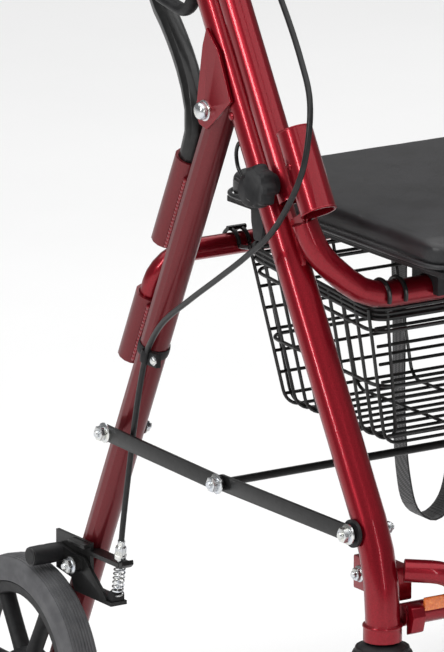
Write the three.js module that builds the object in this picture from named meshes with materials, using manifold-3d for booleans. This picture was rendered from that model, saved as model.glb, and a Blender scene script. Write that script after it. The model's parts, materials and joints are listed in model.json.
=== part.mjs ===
// Four-wheeled rollator with a flip-up seat, wire basket, backrest hoop and cable brakes.
// Millimetres, +X forwards, +Y to the left, +Z up, origin on the floor under the middle.
import * as THREE from 'three';
import { mergeVertices } from 'three/addons/utils/BufferGeometryUtils.js';
import { ConvexGeometry } from 'three/addons/geometries/ConvexGeometry.js';
import Module from 'manifold-3d';

const wasm = await Module();
wasm.setup();

// ---------------------------------------------------------------- driving dimensions
const LEG_Y = 270;                 // half the spacing of the two side frames
const FRONT_R = 14.3;              // 28.6 mm front leg tube
const REAR_R = 12.7;               // 25.4 mm rear leg tube
const BAR_R = 11;                  // 22 mm cross tubes
const HOOP_R = 9.5;                // 19 mm backrest hoop
const GAP = 0.4;                   // clearance between touching pieces

const WHEEL_R = 100;
const TYRE_HALF = 15;
const REAR_AXLE = new THREE.Vector3(-223.5, 0, WHEEL_R);
const REAR_WHEEL_Y = LEG_Y + 34;
const STEM_X = 265.5;
const TRAIL = 42;
const FORK_TOP = 240;

const LEG_TOP = new THREE.Vector2(6, 745);
const LEG_SLOPE = 0.59;            // rearward lean of the front leg, X per Z
const LEG_KNEE_Z = 305;
const REAR_SLOPE = (37 + 223.5) / 548;
const PIVOT = new THREE.Vector2(31.4, 637);
const LINK_REAR = new THREE.Vector2(-112.9, 333);
const LINK_MID = new THREE.Vector2(60, 329.5);
const LINK_FRONT = new THREE.Vector2(247, 331);
const LINK_WIDTH = 14;
const LINK_THICK = 3;
const FRONT_LINK_Y = LEG_Y + 18;
const REAR_LINK_Y = FRONT_LINK_Y + LINK_THICK + 1;

const RECEIVER_OFFSET = 28.5;
const SOCKET_OFFSET = 57.5;
const RECEIVER_R = 12.7;
const HANDLE_R = 10.9;
const HANDLE_CORNER = new THREE.Vector2(-0.5, 812);
const GRIP_END_X = -150;

const REAR_SOCKET_OFFSET = 24.2;
const REAR_SOCKET_R = 12.6;
const REAR_BAR_Z = 494;
const FRONT_BAR = new THREE.Vector2(168, 500);

const SEAT_REAR_X = -62;
const SEAT_FRONT_X = 265;
const SEAT_HALF = 216;
const SEAT_TOP = 560;
const SEAT_BASE = 533;
const BOARD_THICK = 5;

const FOOT_BAR_Z = 262;
const FOOTPLATE_Z = 150;

const LEVER_PIVOT = new THREE.Vector2(-14, 781);
const BRAKE_PIVOT = new THREE.Vector2(-164, 205);
const KNOB_Z = 580;                // measured along the front leg, before the offset
const BUTTON_Z = 556;

// ---------------------------------------------------------------- finishes
const finish = (color, roughness, metalness) => new THREE.MeshStandardMaterial({ color, roughness, metalness });
const RED = finish(0x7a1420, 0.25, 0.6);
const BLACK_STEEL = finish(0x18191b, 0.35, 0.3);
const PLASTIC = finish(0x1d1e20, 0.5, 0);
const ZINC = finish(0xb8bcc0, 0.3, 0.9);
const BRASS = finish(0xb8904a, 0.3, 0.9);
const TYRE = finish(0x63646a, 0.7, 0);
const VINYL = finish(0x26272a, 0.45, 0);
const WEBBING = finish(0x15161a, 0.9, 0);
const WIRE = finish(0x141416, 0.4, 0.1);
const CABLE = finish(0x161617, 0.5, 0);

// ---------------------------------------------------------------- helpers
const root = new THREE.Group();

function add(name, geometry, material) {
  const mesh = new THREE.Mesh(geometry, material);
  mesh.name = name;
  root.add(mesh);
  return mesh;
}

function solid(geometry) {
  const bare = geometry.index ? geometry.toNonIndexed() : geometry.clone();
  bare.deleteAttribute('normal');
  bare.deleteAttribute('uv');
  const merged = mergeVertices(bare, 1e-4);
  const vertProperties = new Float32Array(merged.attributes.position.array);
  const triVerts = new Uint32Array(merged.index.array);
  return new wasm.Manifold(new wasm.Mesh({ numProp: 3, vertProperties, triVerts }));
}

function geometryOf(manifold) {
  const mesh = manifold.getMesh();
  const geometry = new THREE.BufferGeometry();
  geometry.setAttribute('position', new THREE.BufferAttribute(new Float32Array(mesh.vertProperties), 3));
  geometry.setIndex(new THREE.BufferAttribute(new Uint32Array(mesh.triVerts), 1));
  return geometry;
}

function union(...geometries) {
  return geometryOf(geometries.map(solid).reduce((whole, piece) => whole.add(piece)));
}

function cut(geometry, ...tools) {
  return geometryOf(tools.map(solid).reduce((whole, tool) => whole.subtract(tool), solid(geometry)));
}

// A route whose rings lie exactly at the given points, mitred at each of them.
class RingRoute extends THREE.Curve {
  constructor(points) {
    super();
    this.points = points;
  }

  getPoint(t, target = new THREE.Vector3()) {
    const place = t * (this.points.length - 1);
    const i = Math.min(Math.floor(place), this.points.length - 2);
    return target.lerpVectors(this.points[i], this.points[i + 1], place - i);
  }

  getPointAt(u, target) {
    return this.getPoint(u, target);
  }

  getSpacedPoints() {
    return this.points.map((point) => point.clone());
  }

  getTangentAt(u, target = new THREE.Vector3()) {
    const last = this.points.length - 1;
    const i = Math.round(u * last);
    const before = this.points[Math.max(i - 1, 0)];
    const here = this.points[i];
    const after = this.points[Math.min(i + 1, last)];
    const arriving = here.clone().sub(before).normalize();
    const leaving = after.clone().sub(here).normalize();
    return target.copy(arriving).add(leaving).normalize();
  }
}

function circle(radius, bore = 0, sides = 14) {
  const ring = (r) => Array.from({ length: sides }, (_, i) => {
    const angle = (2 * Math.PI * i) / sides;
    return new THREE.Vector2(r * Math.cos(angle), r * Math.sin(angle));
  });
  const shape = new THREE.Shape(ring(radius));
  if (bore > 0) {
    shape.holes.push(new THREE.Path(ring(bore).reverse()));
  }
  return shape;
}

function sweep(points, radius, { bore = 0, sides = 14 } = {}) {
  return new THREE.ExtrudeGeometry(circle(radius, bore, sides), {
    steps: points.length - 1,
    extrudePath: new RingRoute(points),
  });
}

// Corner points joined by straight runs and circular bends of the given radius.
function filleted(corners, bend, stepDegrees = 15) {
  const route = [corners[0]];
  for (let i = 1; i < corners.length - 1; i += 1) {
    const back = corners[i - 1].clone().sub(corners[i]).normalize();
    const ahead = corners[i + 1].clone().sub(corners[i]).normalize();
    const turn = Math.PI - back.angleTo(ahead);
    const reach = bend * Math.tan(turn / 2);
    const start = corners[i].clone().addScaledVector(back, reach);
    const end = corners[i].clone().addScaledVector(ahead, reach);
    const centreWay = back.clone().add(ahead).normalize();
    const centre = corners[i].clone().addScaledVector(centreWay, bend / Math.cos(turn / 2));
    const spokeA = start.clone().sub(centre);
    const spokeB = end.clone().sub(centre);
    const steps = Math.max(2, Math.ceil(THREE.MathUtils.radToDeg(turn) / stepDegrees));
    for (let k = 0; k <= steps; k += 1) {
      const share = (turn * k) / steps;
      const weightA = Math.sin(turn - share) / Math.sin(turn);
      const weightB = Math.sin(share) / Math.sin(turn);
      route.push(centre.clone().addScaledVector(spokeA, weightA).addScaledVector(spokeB, weightB));
    }
  }
  route.push(corners[corners.length - 1]);
  return route;
}

const at = (x, y, z) => new THREE.Vector3(x, y, z);
const bentTube = (corners, radius, bend, options) => sweep(filleted(corners, bend), radius, options);

function smooth(points, count) {
  return new THREE.CatmullRomCurve3(points, false, 'centripetal').getSpacedPoints(count);
}

// A flat plate drawn in the XZ plane, spanning y0..y1.
function plate(outline, y0, y1, holes = []) {
  const shape = new THREE.Shape(outline.map(([x, z]) => new THREE.Vector2(x, z)));
  holes.forEach(([x, z, r]) => {
    const rim = Array.from({ length: 12 }, (_, i) => {
      const angle = (-2 * Math.PI * i) / 12;
      return new THREE.Vector2(x + r * Math.cos(angle), z + r * Math.sin(angle));
    });
    shape.holes.push(new THREE.Path(rim));
  });
  const depth = Math.abs(y1 - y0);
  const geometry = new THREE.ExtrudeGeometry(shape, { depth, bevelEnabled: false });
  geometry.rotateX(Math.PI / 2);
  geometry.translate(0, Math.max(y0, y1), 0);
  return geometry;
}

function block(x0, x1, y0, y1, z0, z1) {
  const geometry = new THREE.BoxGeometry(Math.abs(x1 - x0), Math.abs(y1 - y0), Math.abs(z1 - z0));
  geometry.translate((x0 + x1) / 2, (y0 + y1) / 2, (z0 + z1) / 2);
  return geometry;
}

// A rod or disc with its axis along Y.
function rodY(x, z, y0, y1, radius, sides = 16) {
  const geometry = new THREE.CylinderGeometry(radius, radius, Math.abs(y1 - y0), sides);
  geometry.translate(x, (y0 + y1) / 2, z);
  return geometry;
}

// A bar between two points of the XZ plane with round ends.
function linkOutline(a, b, width) {
  const way = b.clone().sub(a).normalize();
  const base = Math.atan2(way.y, way.x);
  const outline = [];
  const fan = (centre, from) => {
    for (let k = 0; k <= 6; k += 1) {
      const angle = from + (Math.PI * k) / 6;
      outline.push([centre.x + (width / 2) * Math.cos(angle), centre.y + (width / 2) * Math.sin(angle)]);
    }
  };
  fan(b, base - Math.PI / 2);
  fan(a, base + Math.PI / 2);
  return outline;
}

const legX = (z) => LEG_TOP.x + LEG_SLOPE * (LEG_TOP.y - z);
const legLean = Math.hypot(1, LEG_SLOPE);
const legForward = new THREE.Vector2(1 / legLean, LEG_SLOPE / legLean);
const besideLeg = (z, offset, y) => at(legX(z) + offset * legForward.x, y, z + offset * legForward.y);

const rearX = (z) => REAR_AXLE.x + REAR_SLOPE * (z - REAR_AXLE.z);
const rearLean = Math.hypot(1, REAR_SLOPE);
const rearBack = new THREE.Vector2(-1 / rearLean, REAR_SLOPE / rearLean);
const behindRearLeg = (z, offset, y) => {
  const foot = z - offset * rearBack.y;
  return at(rearX(foot) + offset * rearBack.x, y, z);
};

const KNOB = besideLeg(KNOB_Z, RECEIVER_OFFSET, 0);
const REAR_BAR = behindRearLeg(REAR_BAR_Z, REAR_SOCKET_OFFSET, 0);

// ---------------------------------------------------------------- front frame
function frontLeg(s) {
  const y = s * LEG_Y;
  const knee = at(STEM_X, y, LEG_KNEE_Z);
  const leg = bentTube([at(LEG_TOP.x, y, LEG_TOP.y), knee, at(STEM_X, y, FORK_TOP + 8)], FRONT_R, 150);
  const collar = new THREE.CylinderGeometry(16, 16, 14, 16);
  collar.rotateX(Math.PI / 2);
  collar.translate(STEM_X, y, FORK_TOP + 11);
  return union(leg, collar);
}

function handleReceiver(s) {
  const y = s * LEG_Y;
  const ends = [besideLeg(762, RECEIVER_OFFSET, y), besideLeg(566, RECEIVER_OFFSET, y)];
  const tube = sweep(ends, RECEIVER_R, { bore: HANDLE_R + GAP, sides: 16 });
  const hole = rodY(KNOB.x, KNOB.z, y + s * 5, y + s * 20, 4.5, 12);
  return cut(tube, hole);
}

// The space that the leg and the receiver tube take up, for parts welded around them.
const legRoom = (s) => sweep([besideLeg(760, 0, s * LEG_Y), besideLeg(470, 0, s * LEG_Y)], FRONT_R + GAP);
const receiverRoom = (s) => sweep(
  [besideLeg(775, RECEIVER_OFFSET, s * LEG_Y), besideLeg(555, RECEIVER_OFFSET, s * LEG_Y)],
  RECEIVER_R + GAP,
);

function pivotBracket(s) {
  const y = s * LEG_Y;
  const outline = [[17, 633], [22, 624], [33, 621], [43, 629], [69, 651], [50, 690], [33, 706], [27, 690]];
  const outer = plate(outline, y + 15, y + 18);
  const inner = plate(outline, y - 18, y - 15);
  const yoke = [[20.5, 661], [34, 661], [31, 677], [23.5, 677]];
  const web = plate(yoke, y - 17, y + 17);
  const shank = rodY(PIVOT.x, PIVOT.y, y - 17, y + 17, 3, 12);
  const capNuts = [-1, 1].map((face) => rodY(PIVOT.x, PIVOT.y, y + face * 17, y + face * 24, 6.5, 12));
  const plates = cut(union(outer, inner, web), legRoom(s), receiverRoom(s));
  return union(plates, shank, ...capNuts);
}

function frontSocket(s) {
  const y = s * LEG_Y;
  const ends = [besideLeg(609, SOCKET_OFFSET, y), besideLeg(549, SOCKET_OFFSET, y)];
  const sleeve = sweep(ends, 15, { bore: 13, sides: 18 });
  const webCorners = [[562, 12], [562, 44], [550, 44], [520, 12]].map(([z, offset]) => besideLeg(z, offset, y));
  const web = plate(webCorners.map((corner) => [corner.x, corner.z]), y - 2, y + 2);
  const barRoom = sweep(frontBarRoute(), BAR_R + GAP);
  return cut(union(sleeve, web), barRoom, legRoom(s), receiverRoom(s));
}

function frontBarRoute() {
  const half = (s) => [
    at(150, s * LEG_Y, 566), at(158, s * (LEG_Y - 8), 538), at(FRONT_BAR.x, s * (LEG_Y - 48), FRONT_BAR.y),
  ];
  return filleted([...half(-1), ...half(1).reverse()], 56);
}

function footBar() {
  const end = LEG_Y - 17;
  return sweep([at(STEM_X, -end, FOOT_BAR_Z), at(STEM_X, end, FOOT_BAR_Z)], 9.5);
}

function footrestArm(s) {
  const corners = [
    at(STEM_X + 6, s * (LEG_Y - 16.5), 301), at(STEM_X + 22, s * (LEG_Y - 44), 299),
    at(STEM_X + 22, s * 106, FOOTPLATE_Z + 62), at(STEM_X + 22, s * 106, FOOTPLATE_Z - 8),
  ];
  return sweep(filleted(corners, 26), 9.5);
}

function footplate(s) {
  const x = STEM_X + 22;
  const board = block(x - 4, x + 4, s * 6, s * 92, FOOTPLATE_Z + 4, FOOTPLATE_Z + 132);
  const knuckle = rodY(x, FOOTPLATE_Z, s * 40, s * 94, 7);
  const neck = block(x - 4, x + 4, s * 44, s * 88, FOOTPLATE_Z, FOOTPLATE_Z + 8);
  return union(board, knuckle, neck);
}

// ---------------------------------------------------------------- rear frame
function rearLeg(s) {
  const y = s * LEG_Y;
  const leg = sweep([at(rearX(90), y, 90), at(rearX(648), y, 648)], REAR_R);
  const alongLeg = (z0, z1, radius, sides) => sweep(
    [behindRearLeg(z0, REAR_SOCKET_OFFSET, y), behindRearLeg(z1, REAR_SOCKET_OFFSET, y)], radius, { sides },
  );
  const upper = alongLeg(508, 586, REAR_SOCKET_R, 14);
  const lower = alongLeg(398, 458, REAR_SOCKET_R, 14);
  const hoopBore = alongLeg(500, 600, HOOP_R + GAP, 16);
  const barBore = alongLeg(406, 470, 9.5 + GAP, 16);
  const pivotHole = rodY(PIVOT.x, PIVOT.y, y - 20, y + 20, 3.4, 12);
  const axleHole = rodY(REAR_AXLE.x, REAR_AXLE.z, y - 20, y + 20, 4.3, 12);
  return cut(union(leg, upper, lower), hoopBore, barBore, buttonHole(s), pivotHole, axleHole);
}

function buttonRod(s, from, to, radius) {
  const y = s * LEG_Y;
  const centre = behindRearLeg(BUTTON_Z, REAR_SOCKET_OFFSET, y);
  const a = at(centre.x + rearBack.x * from, y, centre.z + rearBack.y * from);
  const b = at(centre.x + rearBack.x * to, y, centre.z + rearBack.y * to);
  return sweep([a, b], radius, { sides: 12 });
}
const buttonHole = (s) => buttonRod(s, 1.5, 20, 3.6);
const snapButton = (s) => buttonRod(s, 5.5, 15.5, 3.2);

function rearBar() {
  const foot = behindRearLeg(409, REAR_SOCKET_OFFSET, -LEG_Y);
  const corners = [
    foot, at(REAR_BAR.x, -LEG_Y, REAR_BAR.z),
    at(REAR_BAR.x, LEG_Y, REAR_BAR.z), at(foot.x, LEG_Y, foot.z),
  ];
  return sweep(filleted(corners, 30), 9.5);
}

function backrestHoop() {
  const side = (s) => [
    ...[522, 556, 582, 592, 602].map((z) => behindRearLeg(z, REAR_SOCKET_OFFSET, s * LEG_Y)),
    at(-12, s * (LEG_Y - 1), 627), at(-32, s * (LEG_Y - 7), 653),
    at(-74, s * (LEG_Y - 20), 679), at(-112, s * (LEG_Y - 30), 700),
    at(-136, s * (LEG_Y - 36), 738), at(-140, s * (LEG_Y - 40), 784), at(-134, s * (LEG_Y - 56), 824),
    at(-130, s * (LEG_Y - 92), 838),
  ];
  const route = [...smooth(side(-1), 22), ...smooth(side(1), 22).reverse()];
  const tube = sweep(route, HOOP_R, { sides: 10 });
  return cut(tube, buttonHole(-1), buttonHole(1));
}

function backrestPad() {
  const corners = [];
  for (const y of [-150, 150]) {
    corners.push(at(-118, y, 772), at(-96, y, 776), at(-92, y, 800));
    corners.push(at(-93, y, 846), at(-104, y, 862), at(-118, y, 862));
  }
  for (const y of [-166, 166]) {
    corners.push(at(-116, y, 784), at(-100, y, 788), at(-99, y, 850), at(-116, y, 852));
  }
  return new ConvexGeometry(corners);
}

// ---------------------------------------------------------------- folding links
function rearLink(s) {
  const y0 = s * REAR_LINK_Y;
  const bar = plate(linkOutline(LINK_REAR, LINK_MID, LINK_WIDTH), y0, y0 + s * LINK_THICK);
  const spacer = rodY(LINK_REAR.x, LINK_REAR.y, s * (LEG_Y + REAR_R + GAP), y0 + s * 1, 8);
  const nut = rodY(LINK_REAR.x, LINK_REAR.y, y0 + s * 2, y0 + s * 11, 6.5, 6);
  const midNut = rodY(LINK_MID.x, LINK_MID.y, y0 + s * 2, y0 + s * 10, 6.5, 6);
  return union(bar, spacer, nut, midNut);
}

function frontLink(s) {
  const y0 = s * FRONT_LINK_Y;
  const bar = plate(linkOutline(LINK_MID, LINK_FRONT, LINK_WIDTH), y0, y0 + s * LINK_THICK);
  const spacer = rodY(LINK_FRONT.x, LINK_FRONT.y, s * (LEG_Y + FRONT_R + GAP), y0 + s * 1, 11);
  const nut = rodY(LINK_FRONT.x, LINK_FRONT.y, y0 + s * 2, y0 + s * 11, 6.5, 6);
  return union(bar, spacer, nut);
}

const crossRod = () => rodY(LINK_MID.x, LINK_MID.y, -(FRONT_LINK_Y - GAP), FRONT_LINK_Y - GAP, 3.5, 12);

// ---------------------------------------------------------------- wheels and casters
// A ring turned about Y whose flats, not its corners, lie at the given radii.
function turnedRing(profile, sides = 32) {
  const stretch = 1 / Math.cos(Math.PI / sides);
  const ring = new THREE.LatheGeometry(profile.map(([r, w]) => new THREE.Vector2(r * stretch, w)), sides);
  ring.rotateY(Math.PI / sides);
  return ring;
}

function tyre(x, y, z) {
  const profile = [
    [78, -13], [94, -TYRE_HALF], [98, -12], [WHEEL_R, -6], [WHEEL_R, 6],
    [98, 12], [94, TYRE_HALF], [78, 13], [78, -13],
  ];
  const geometry = turnedRing(profile);
  geometry.translate(x, y, z);
  return geometry;
}

function hub(x, y, z) {
  const ringProfile = [[68, -11], [77.2, -11], [77.2, 11], [68, 11], [68, -11]];
  const rim = turnedRing(ringProfile);
  const bossProfile = [[4.6, -14], [17, -14], [17, 14], [4.6, 14], [4.6, -14]];
  const boss = new THREE.LatheGeometry(bossProfile.map(([r, w]) => new THREE.Vector2(r, w)), 14);
  const spokes = Array.from({ length: 6 }, (_, i) => {
    const spoke = new THREE.BoxGeometry(62, 14, 13);
    spoke.translate(42, 0, 0);
    spoke.rotateY((i * Math.PI) / 3);
    return spoke;
  });
  const whole = union(rim, boss, ...spokes);
  whole.translate(x, y, z);
  return whole;
}

function axleBolt(s) {
  const x = REAR_AXLE.x;
  const z = REAR_AXLE.z;
  const shank = rodY(x, z, s * (LEG_Y - 18), s * (REAR_WHEEL_Y + 20), 4, 12);
  const head = rodY(x, z, s * (REAR_WHEEL_Y + 15), s * (REAR_WHEEL_Y + 21), 8, 6);
  const nut = rodY(x, z, s * (LEG_Y - 21), s * (LEG_Y - REAR_R - GAP), 8, 6);
  const spacer = rodY(x, z, s * (LEG_Y + REAR_R + GAP), s * (REAR_WHEEL_Y - 15), 9, 14);
  return union(shank, head, nut, spacer);
}

function casterFork(s) {
  const y = s * LEG_Y;
  const x = STEM_X;
  const axleX = STEM_X - TRAIL;
  const crown = new THREE.CylinderGeometry(22, 27, 24, 20);
  crown.rotateX(Math.PI / 2);
  crown.translate(x, y, FORK_TOP - 13);
  const stem = new THREE.CylinderGeometry(9, 9, 8, 14);
  stem.rotateX(Math.PI / 2);
  stem.translate(x, y, FORK_TOP - 0.5);
  const deck = block(x - 40, x + 20, y - 25, y + 25, FORK_TOP - 33, FORK_TOP - 22);
  const cheek = [
    [x + 20, FORK_TOP - 26], [x + 14, FORK_TOP - 60], [axleX + 14, WHEEL_R - 8], [axleX, WHEEL_R - 14],
    [axleX - 14, WHEEL_R - 6], [axleX - 14, WHEEL_R + 8], [x - 40, FORK_TOP - 50], [x - 40, FORK_TOP - 26],
  ];
  const sides = [y - 25, y + 20].map((y0) => plate(cheek, y0, y0 + 5));
  const axle = rodY(axleX, WHEEL_R, y - 28, y + 28, 4, 12);
  return union(crown, stem, deck, ...sides, axle);
}

// ---------------------------------------------------------------- handles and brakes
function handleTube(s) {
  const y = s * LEG_Y;
  const corners = [
    besideLeg(571, RECEIVER_OFFSET, y), at(HANDLE_CORNER.x, y, HANDLE_CORNER.y),
    at(GRIP_END_X + 8, y, HANDLE_CORNER.y + 4),
  ];
  return sweep(filleted(corners, 34), HANDLE_R, { sides: 16 });
}

function grip(s) {
  const inner = HANDLE_R + GAP;
  const profile = [
    [inner, -62], [17, -62], [18.5, -56], [16.5, -50], [16.5, 50], [18, 58], [15, 64],
    [0, 64], [0, 60], [inner, 60], [inner, -62],
  ];
  const geometry = new THREE.LatheGeometry(profile.map(([r, h]) => new THREE.Vector2(r, h)), 20);
  geometry.rotateZ(Math.PI / 2);
  geometry.rotateY(0.027);
  geometry.translate(-88, s * LEG_Y, HANDLE_CORNER.y + 2.3);
  return geometry;
}

function brakeHousing(s) {
  const y = s * LEG_Y;
  const cheek = plate([[-22, 800], [4, 799], [12, 787], [-2, 773], [-20, 773], [-25, 784]], y - 3, y + 3);
  const neck = block(4, 30, y - 5, y + 5, 786, 797);
  const collarProfile = [[HANDLE_R + GAP, -8], [15, -8], [15, 8], [HANDLE_R + GAP, 8], [HANDLE_R + GAP, -8]];
  const collar = new THREE.LatheGeometry(collarProfile.map(([r, h]) => new THREE.Vector2(r, h)), 20);
  const lean = Math.atan(LEG_SLOPE);
  collar.rotateX(Math.PI / 2);
  collar.rotateY(-lean);
  const seat = besideLeg(770, RECEIVER_OFFSET, y);
  collar.translate(seat.x, seat.y, seat.z);
  const bend = [
    besideLeg(700, RECEIVER_OFFSET, y), at(HANDLE_CORNER.x, y, HANDLE_CORNER.y),
    at(-80, y, HANDLE_CORNER.y + 2),
  ];
  return cut(union(cheek, neck, collar), bentTube(bend, HANDLE_R + GAP, 34));
}

function brakeLever(s) {
  const y = s * LEG_Y;
  const corners = [at(-13, y, 766), at(-13, y, 704), at(-60, y, 712), at(-150, y, 738)];
  const loop = sweep(filleted(corners, 16), 5.5, { sides: 12 });
  const eye = plate(linkOutline(new THREE.Vector2(-13, 764), LEVER_PIVOT, 12), y + s * 3.5, y + s * 7);
  const stem = block(-19, -7, y - s * 4, y + s * 7, 758, 768);
  return union(loop, eye, stem);
}

function heightKnob(s) {
  const y = s * (LEG_Y + RECEIVER_R);
  const lobes = Array.from({ length: 16 }, (_, i) => {
    const r = i % 2 ? 15.5 : 18.5;
    return [KNOB.x + r * Math.cos((Math.PI * i) / 8), KNOB.z + r * Math.sin((Math.PI * i) / 8)];
  });
  const head = plate(lobes, y + s * 8, y + s * 22);
  const neck = rodY(KNOB.x, KNOB.z, y + s * 1, y + s * 9, 9);
  const screw = rodY(KNOB.x, KNOB.z, y - s * 1, y + s * 2, 4, 12);
  return union(head, neck, screw);
}

const rearLegRoom = (s, gap) => sweep(
  [at(rearX(90), s * LEG_Y, 90), at(rearX(400), s * LEG_Y, 400)],
  REAR_R + gap,
);

function brakeBracket(s) {
  const y0 = s * (LEG_Y + REAR_R + GAP);
  const yOut = s * (LEG_Y + 16.5);
  const clampPlate = plate([[-205, 226], [-150, 226], [-150, 198], [-168, 187], [-205, 192]], y0, yOut);
  const adjusterSeat = block(-170, -106, s * (LEG_Y + 4), yOut, 215, 219);
  return cut(union(clampPlate, adjusterSeat), rearLegRoom(s, GAP));
}

function brakeArm(s) {
  const yIn = s * (LEG_Y + 17);
  const yOut = s * (LEG_Y + 20);
  const webOutline = [
    [-176, 213], [-156, 213], [-126, 190], [-120, 184], [-126, 180], [-170, 180], [-180, 200],
  ];
  const web = plate(webOutline, yIn, yOut);
  const shelf = block(-160, -112, s * (LEG_Y + 4), yOut, 180, 183.5);
  const arm = plate([[-174, 213], [-174, 202], [-195, 204], [-202, 208], [-195, 216]], yIn, yOut);
  const shoe = rodY(-195, 208.5, yIn, s * (REAR_WHEEL_Y + 15), 8, 20);
  const bolt = rodY(BRAKE_PIVOT.x, BRAKE_PIVOT.y, yIn, s * (LEG_Y + 27), 6.5, 6);
  return union(cut(union(web, shelf), rearLegRoom(s, 3)), arm, shoe, bolt);
}

// ---------------------------------------------------------------- brake cables
const CABLE_MEET = [200, 28, 679];
// Points of the route on the right side: X, distance outside the leg's centre plane, Z.
const UPPER_CABLE = [[31, 0, 792], [60, 1, 792], [98, 3, 770], [128, 7, 743], [170, 17, 706], CABLE_MEET];
const LOWER_CABLE = [
  CABLE_MEET, [210, 36, 650], [207, 41, 620], [172, 43, 570], [128, 41, 538], [82, 37, 510],
  [26, 30, 478], [-23, 24, 448], [-46, 20, 428], [-60, 17, 412], [-74, 16.5, 370], [-90, 16.5, 297],
  [-102, 15, 246], [-108, 13, 224],
];

function cable(points, s, count, trim) {
  const route = points.map(([x, y, z]) => at(x, s * (LEG_Y + y), z));
  const rings = smooth(route, count);
  return sweep(trim > 0 ? rings.slice(trim) : rings, 2.5, { sides: 8 });
}

// ---------------------------------------------------------------- seat, basket, strap
function seatBoard() {
  const half = SEAT_HALF - 6;
  const board = block(SEAT_REAR_X + 6, SEAT_FRONT_X - 6, -half, half, SEAT_BASE, SEAT_BASE + BOARD_THICK);
  const bumpers = [-100, 100].map((y) => block(-58, -44, y - 14, y + 14, REAR_BAR.z + 10.2, SEAT_BASE + 1));
  const saddles = [-150, 150].map((y) => {
    const outline = [[149, SEAT_BASE + 1], [149, 497], [187, 497], [187, SEAT_BASE + 1]];
    const body = plate(outline, y - 14, y + 14);
    const barRoom = rodY(FRONT_BAR.x, FRONT_BAR.y, y - 20, y + 20, BAR_R + 0.8, 24);
    const mouth = block(FRONT_BAR.x - BAR_R - 0.6, FRONT_BAR.x + BAR_R + 0.6, y - 20, y + 20, 480, FRONT_BAR.y);
    return cut(body, barRoom, mouth);
  });
  return union(board, ...bumpers, ...saddles);
}

function seatPad() {
  const base = SEAT_BASE + BOARD_THICK + GAP;
  const rounded = new THREE.Shape();
  const r = 26;
  const [x0, x1, y0, y1] = [SEAT_REAR_X, SEAT_FRONT_X, -SEAT_HALF, SEAT_HALF];
  rounded.moveTo(x0 + r, y0);
  rounded.lineTo(x1 - r, y0);
  rounded.absarc(x1 - r, y0 + r, r, -Math.PI / 2, 0);
  rounded.absarc(x1 - r, y1 - r, r, 0, Math.PI / 2);
  rounded.absarc(x0 + r, y1 - r, r, Math.PI / 2, Math.PI);
  rounded.absarc(x0 + r, y0 + r, r, Math.PI, Math.PI * 1.5);
  const depth = SEAT_TOP - base;
  const geometry = new THREE.ExtrudeGeometry(rounded, { depth, bevelEnabled: false, curveSegments: 5 });
  geometry.translate(0, 0, base);
  return geometry;
}

function basketShell(inset) {
  const corners = [];
  const lift = inset > 0 ? 6 : 0;
  for (const s of [-1, 1]) {
    const rim = s * (206 - inset);
    const floor = s * (188 - inset);
    corners.push(at(-38 + inset, rim, 502 + lift), at(153 - inset, rim, 484 + lift));
    corners.push(at(-8 + inset, floor, 364 + inset), at(151 - inset, floor, 364 + inset));
  }
  return new ConvexGeometry(corners);
}

function basket() {
  const hooks = [-150, 150].map((y) => {
    const arc = [];
    for (let k = 0; k <= 8; k += 1) {
      const angle = (Math.PI * (k - 0.5)) / 8;
      arc.push([REAR_BAR.x + 14.5 * Math.cos(angle), REAR_BAR.z + 14.5 * Math.sin(angle)]);
    }
    for (let k = 8; k >= 0; k -= 1) {
      const angle = (Math.PI * (k - 0.5)) / 8;
      arc.push([REAR_BAR.x + 10.6 * Math.cos(angle), REAR_BAR.z + 10.6 * Math.sin(angle)]);
    }
    return plate(arc, y - 8, y + 8);
  });
  const arms = [-150, 150].map((y) => block(REAR_BAR.x + 11.2, -33, y - 8, y + 8, 488, 499));
  return union(cut(basketShell(0), basketShell(4)), ...hooks, ...arms);
}

function strap() {
  const x = REAR_BAR.x;
  const outer = [
    [-34, 484], [-32, 320], [-20, 236], [0, 222], [20, 236], [32, 320], [34, 484],
    [31, 484], [29, 320], [18, 240], [0, 227], [-18, 240], [-29, 320], [-31, 484],
  ];
  const shape = new THREE.Shape(outer.map(([y, z]) => new THREE.Vector2(y, z)));
  const loop = new THREE.ExtrudeGeometry(shape, { depth: 25, bevelEnabled: false });
  loop.rotateX(Math.PI / 2);
  loop.rotateZ(Math.PI / 2);
  loop.translate(x - 12.5, 0, 0);
  return loop;
}

// ---------------------------------------------------------------- assembly
const SIDES = [['right', -1], ['left', 1]];

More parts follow.
